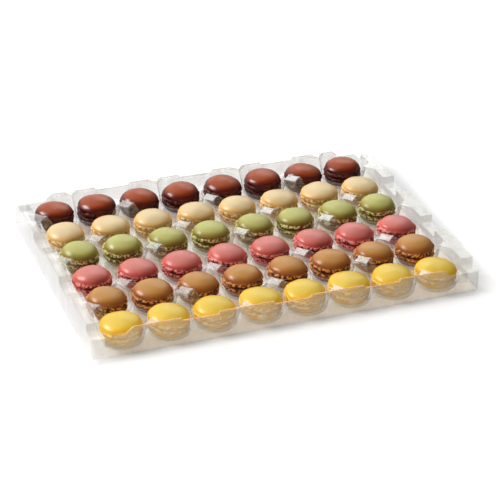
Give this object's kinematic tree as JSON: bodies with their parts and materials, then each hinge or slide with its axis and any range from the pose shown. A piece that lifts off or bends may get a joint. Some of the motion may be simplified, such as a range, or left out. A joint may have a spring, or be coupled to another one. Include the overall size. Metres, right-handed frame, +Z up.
{
  "type": "tray of macarons",
  "caption": "Open clear plastic tray with round pockets, posts and a notched rim, filled with rows of macarons, one colour to each row.",
  "frame": {"origin": "middle of the tray's footprint, on the surface that it stands on", "axes": "+X along the rows of eight macarons, +Y away from the front row towards the back row, +Z up"},
  "size_m": [0.36, 0.254, 0.0273],
  "materials": {
    "clear_plastic": "thin clear moulded sheet, glossy",
    "cocoa": "dark baked almond shell, smooth and slightly glossy, with a rough foot and a soft filling",
    "vanilla": "cream baked almond shell, smooth and slightly glossy, with a rough foot and a soft filling",
    "pistachio": "green baked almond shell, smooth and slightly glossy, with a rough foot and a soft filling",
    "rose": "pink baked almond shell, smooth and slightly glossy, with a rough foot and a soft filling",
    "caramel": "tan baked almond shell, smooth and slightly glossy, with a rough foot and a soft filling",
    "lemon": "yellow baked almond shell, smooth and slightly glossy, with a rough foot and a soft filling"
  },
  "bodies": {
    "root": {"tray": "clear_plastic", "cocoa_1": "cocoa", "cocoa_2": "cocoa", "cocoa_3": "cocoa", "cocoa_4": "cocoa", "cocoa_5": "cocoa", "cocoa_6": "cocoa", "cocoa_7": "cocoa", "cocoa_8": "cocoa", "vanilla_1": "vanilla", "vanilla_2": "vanilla", "vanilla_3": "vanilla", "vanilla_4": "vanilla", "vanilla_5": "vanilla", "vanilla_6": "vanilla", "vanilla_7": "vanilla", "vanilla_8": "vanilla", "pistachio_1": "pistachio", "pistachio_2": "pistachio", "pistachio_3": "pistachio", "pistachio_4": "pistachio", "pistachio_5": "pistachio", "pistachio_6": "pistachio", "pistachio_7": "pistachio", "pistachio_8": "pistachio", "rose_1": "rose", "rose_2": "rose", "rose_3": "rose", "rose_4": "rose", "rose_5": "rose", "rose_6": "rose", "rose_7": "rose", "rose_8": "rose", "caramel_1": "caramel", "caramel_2": "caramel", "caramel_3": "caramel", "caramel_4": "caramel", "caramel_5": "caramel", "caramel_6": "caramel", "caramel_7": "caramel", "caramel_8": "caramel", "lemon_1": "lemon", "lemon_2": "lemon", "lemon_3": "lemon", "lemon_4": "lemon", "lemon_5": "lemon", "lemon_6": "lemon", "lemon_7": "lemon", "lemon_8": "lemon"}
  },
  "joints": []
}
